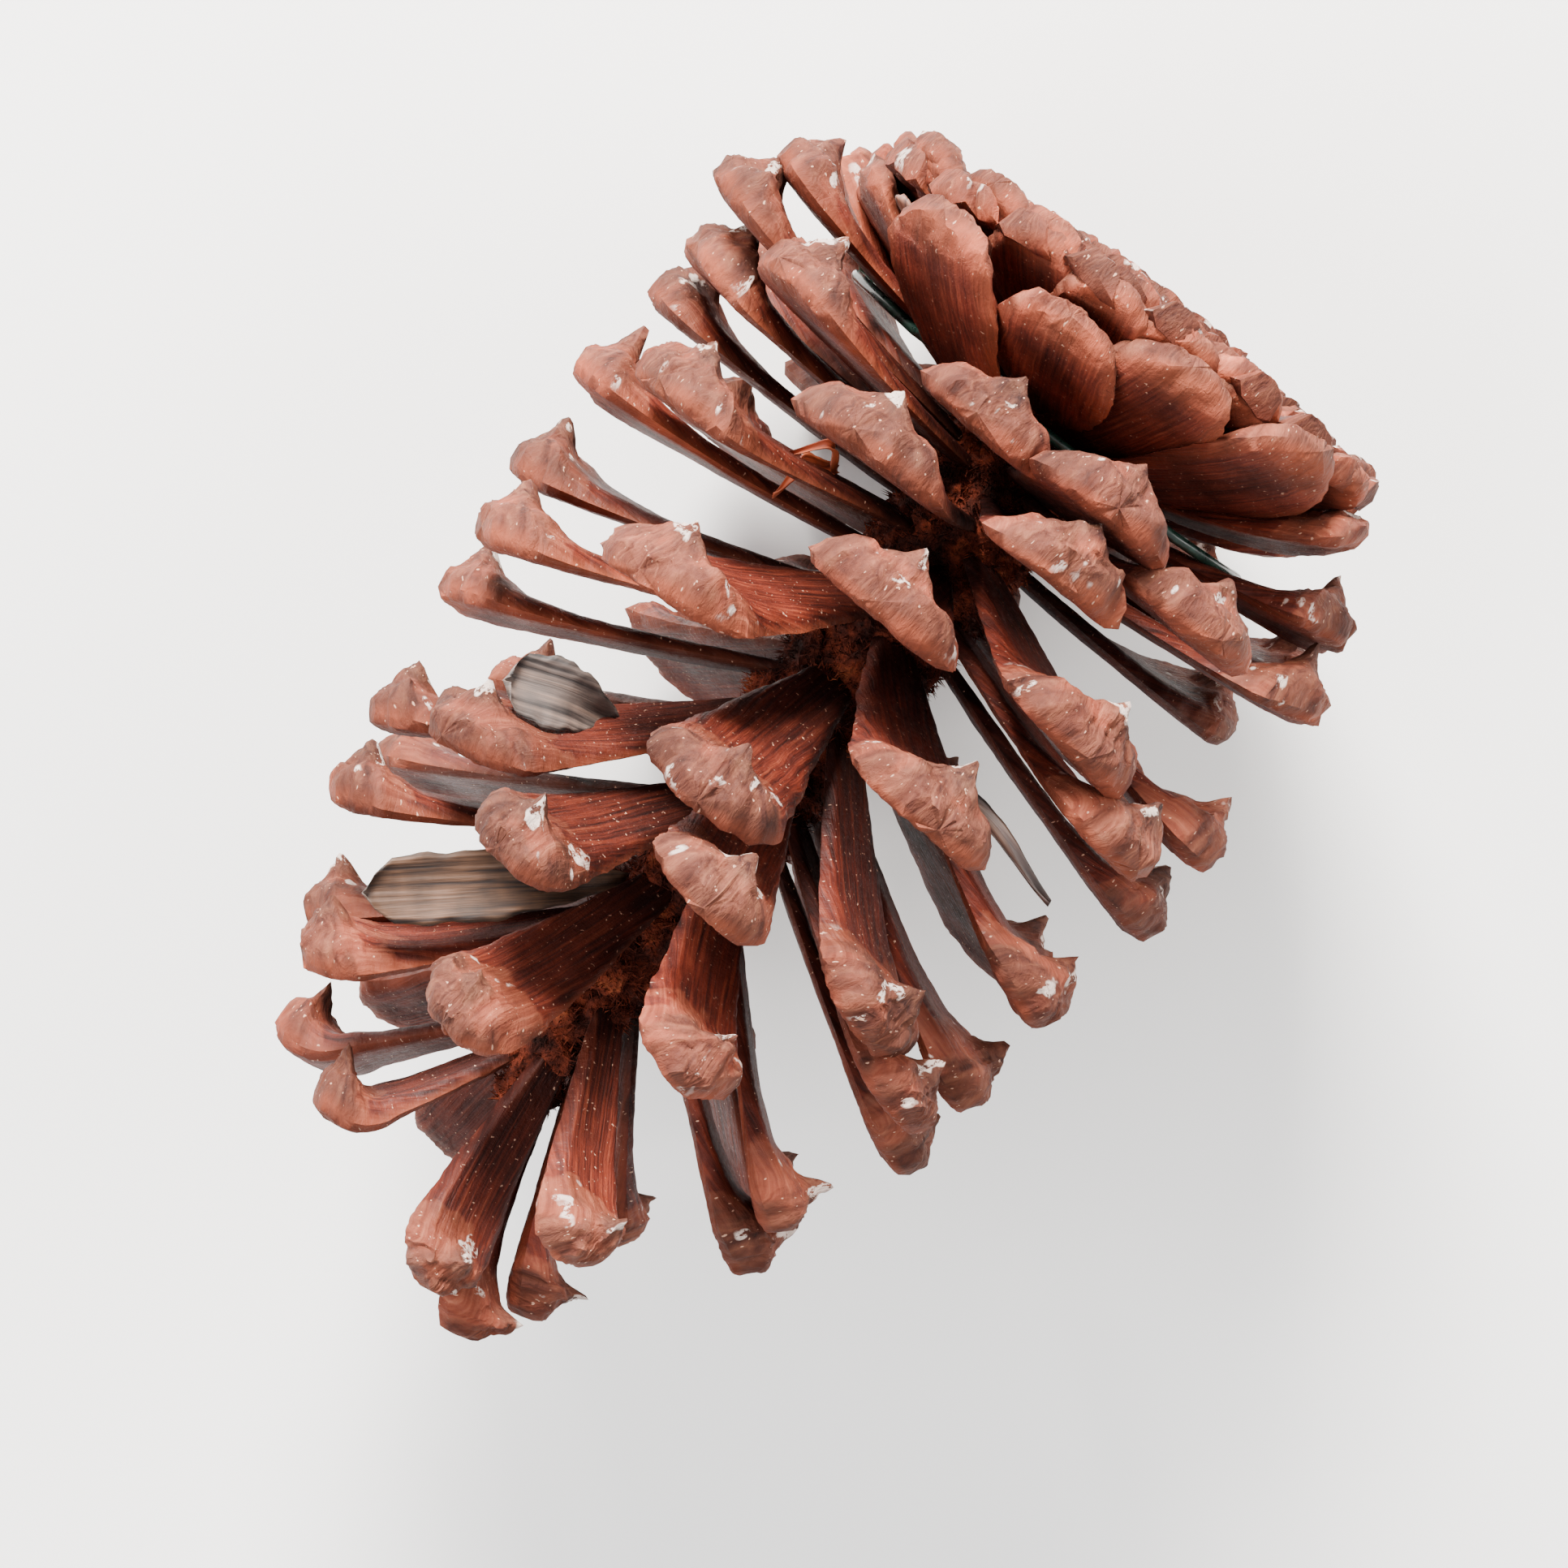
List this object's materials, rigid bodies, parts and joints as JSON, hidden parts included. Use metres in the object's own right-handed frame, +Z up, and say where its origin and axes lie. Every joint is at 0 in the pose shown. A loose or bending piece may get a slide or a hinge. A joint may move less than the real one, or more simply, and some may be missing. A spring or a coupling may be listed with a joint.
{
  "type": "pine cone",
  "caption": "Open, mature pine cone lying on its side, with spread woody scales, a closed stalk end and a thin green wire looped round it.",
  "frame": {"origin": "centre of the bounding box's bottom face, on the surface that the cone lies on", "axes": "+X along the cone from its stalk end to its tip, +Y across it, +Z up"},
  "size_m": [0.1306, 0.0878, 0.0889],
  "materials": {
    "scale_wood": "matt, dry and rough, with resin patches",
    "core_wood": "matt and fuzzy",
    "seed_wing_skin": "papery, finely striped",
    "green_wire_coat": "dark green enamel"
  },
  "bodies": {
    "root": {"stalk_end": "scale_wood", "cone_axis": "core_wood", "scale_01": "scale_wood", "scale_02": "scale_wood", "scale_03": "scale_wood", "scale_04": "scale_wood", "scale_05": "scale_wood", "scale_06": "scale_wood", "scale_07": "scale_wood", "scale_08": "scale_wood", "scale_09": "scale_wood", "scale_10": "scale_wood", "scale_11": "scale_wood", "scale_12": "scale_wood", "scale_13": "scale_wood", "scale_14": "scale_wood", "scale_15": "scale_wood", "scale_16": "scale_wood", "scale_17": "scale_wood", "scale_18": "scale_wood", "scale_19": "scale_wood", "scale_20": "scale_wood", "scale_21": "scale_wood", "scale_22": "scale_wood", "scale_23": "scale_wood", "scale_24": "scale_wood", "scale_25": "scale_wood", "scale_26": "scale_wood", "scale_27": "scale_wood", "scale_28": "scale_wood", "scale_29": "scale_wood", "scale_30": "scale_wood", "scale_31": "scale_wood", "scale_32": "scale_wood", "scale_33": "scale_wood", "scale_34": "scale_wood", "scale_35": "scale_wood", "scale_36": "scale_wood", "scale_37": "scale_wood", "scale_38": "scale_wood", "scale_39": "scale_wood", "scale_40": "scale_wood", "scale_41": "scale_wood", "scale_42": "scale_wood", "scale_43": "scale_wood", "scale_44": "scale_wood", "scale_45": "scale_wood", "scale_46": "scale_wood", "scale_47": "scale_wood", "scale_48": "scale_wood", "scale_49": "scale_wood", "scale_50": "scale_wood", "scale_51": "scale_wood", "scale_52": "scale_wood", "scale_53": "scale_wood", "scale_54": "scale_wood", "binding_wire": "green_wire_coat", "winged_seed": "seed_wing_skin", "seed_wing_pale": "seed_wing_skin", "seed_wing_dark": "seed_wing_skin"}
  },
  "joints": []
}
